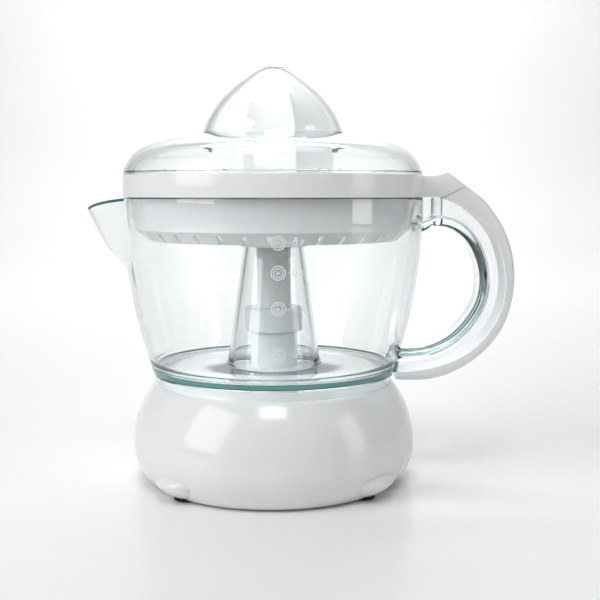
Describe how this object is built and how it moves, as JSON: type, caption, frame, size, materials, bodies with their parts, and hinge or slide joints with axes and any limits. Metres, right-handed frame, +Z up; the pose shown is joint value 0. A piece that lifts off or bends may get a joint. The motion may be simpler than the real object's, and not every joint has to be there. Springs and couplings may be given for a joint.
{
  "type": "citrus press",
  "caption": "Electric citrus press with a round motor base, clear jug with spout and handle, strainer, ribbed cone and clear domed dust cover.",
  "frame": {"origin": "on the spindle's axis, at the surface the rubber feet stand on", "axes": "+Z up along the spindle, +X towards the jug's handle, -X towards its spout"},
  "size_m": [0.2155, 0.1502, 0.2082],
  "materials": {
    "white_abs": "gloss, injection moulded",
    "clear_san": "clear, blue-green tint at the edges",
    "grey_abs": "fine texture",
    "acetal": "natural, satin",
    "red_acetal": "satin",
    "black_nylon": "satin",
    "terminal_nylon": "satin",
    "foot_rubber": "matt",
    "gland_rubber": "matt",
    "steel": "turned",
    "zinc_steel": "zinc plated",
    "brass": "turned",
    "sintered_bronze": "sintered",
    "ferrite": "matt",
    "laminations": "stacked sheet",
    "copper_wire": "enamelled"
  },
  "bodies": {
    "base": {"base_housing": "white_abs", "bottom_cover": "grey_abs", "foot_pads": "foot_rubber", "bottom_screws": "steel", "cord_gland": "gland_rubber", "neck_bush": "acetal", "gear_plate": "grey_abs", "plate_screws": "steel", "gearbox_cover": "grey_abs", "gear_pins": "steel", "stator_core": "laminations", "coil_bobbins": "black_nylon", "coil_windings": "copper_wire", "motor_bracket": "zinc_steel", "motor_screws": "steel", "rotor_bushes": "sintered_bronze", "switch_body": "black_nylon", "lever_pin": "steel", "terminal_block": "terminal_nylon", "terminal_screws": "brass"},
    "output": {"output_gear": "acetal"},
    "spindle": {"spindle": "white_abs", "spindle_clip": "steel", "spindle_spring": "steel"},
    "cone": {"reamer_cone": "white_abs"},
    "jug": {"jug": "clear_san", "handle_cover": "white_abs", "strainer": "white_abs"},
    "lid": {"dust_cover": "clear_san"},
    "second_gear": {"second_gear": "acetal"},
    "first_gear": {"first_gear": "acetal"},
    "rotor": {"rotor_shaft": "steel", "rotor_magnet": "ferrite", "rotor_pinion": "acetal"},
    "lever": {"switch_lever": "zinc_steel"},
    "plunger": {"switch_plunger": "red_acetal"}
  },
  "joints": [
    {"name": "output_spin", "type": "hinge", "parent": "base", "child": "output", "pos_m": [0, 0, 0.042], "axis": [0, 0, 1], "continuous": true},
    {"name": "spindle_press", "type": "slide", "parent": "output", "child": "spindle", "axis": [0, 0, 1], "range_m": [-0.004, 0], "stiffness_N_per_m": 2500, "springref_m": 0.002, "deforming": ["spindle_spring"]},
    {"name": "cone_lift", "type": "slide", "parent": "spindle", "child": "cone", "axis": [0, 0, 1], "range_m": [0, 0.13]},
    {"name": "jug_lift", "type": "slide", "parent": "base", "child": "jug", "axis": [0, 0, 1], "range_m": [0, 0.13]},
    {"name": "lid_lift", "type": "slide", "parent": "jug", "child": "lid", "axis": [0, 0, 1], "range_m": [0, 0.06]},
    {"name": "second_gear_spin", "type": "hinge", "parent": "base", "child": "second_gear", "pos_m": [-0.028, 0, 0.036], "axis": [0, 0, 1], "continuous": true},
    {"name": "first_gear_spin", "type": "hinge", "parent": "base", "child": "first_gear", "pos_m": [-0.02241, -0.02086, 0.032], "axis": [0, 0, 1], "continuous": true},
    {"name": "rotor_spin", "type": "hinge", "parent": "base", "child": "rotor", "pos_m": [-0.01191, -0.03905, 0.02], "axis": [0, 0, 1], "continuous": true},
    {"name": "lever_turn", "type": "hinge", "parent": "base", "child": "lever", "pos_m": [0, 0.026, 0.0165], "axis": [1, 0, 0], "range_deg": [0, 9]},
    {"name": "plunger_press", "type": "slide", "parent": "base", "child": "plunger", "axis": [0, 0, 1], "range_m": [-0.0019, 0]}
  ],
  "couplings": [
    {"joint": "first_gear_spin", "follows": "rotor_spin", "ratio": -0.25},
    {"joint": "second_gear_spin", "follows": "rotor_spin", "ratio": 0.071429},
    {"joint": "output_spin", "follows": "rotor_spin", "ratio": -0.02381},
    {"joint": "cone_lift", "follows": "jug_lift", "ratio": 1},
    {"joint": "lever_turn", "follows": "spindle_press", "rad_per_m": -38.462},
    {"joint": "plunger_press", "follows": "spindle_press", "ratio": 0.46154}
  ]
}
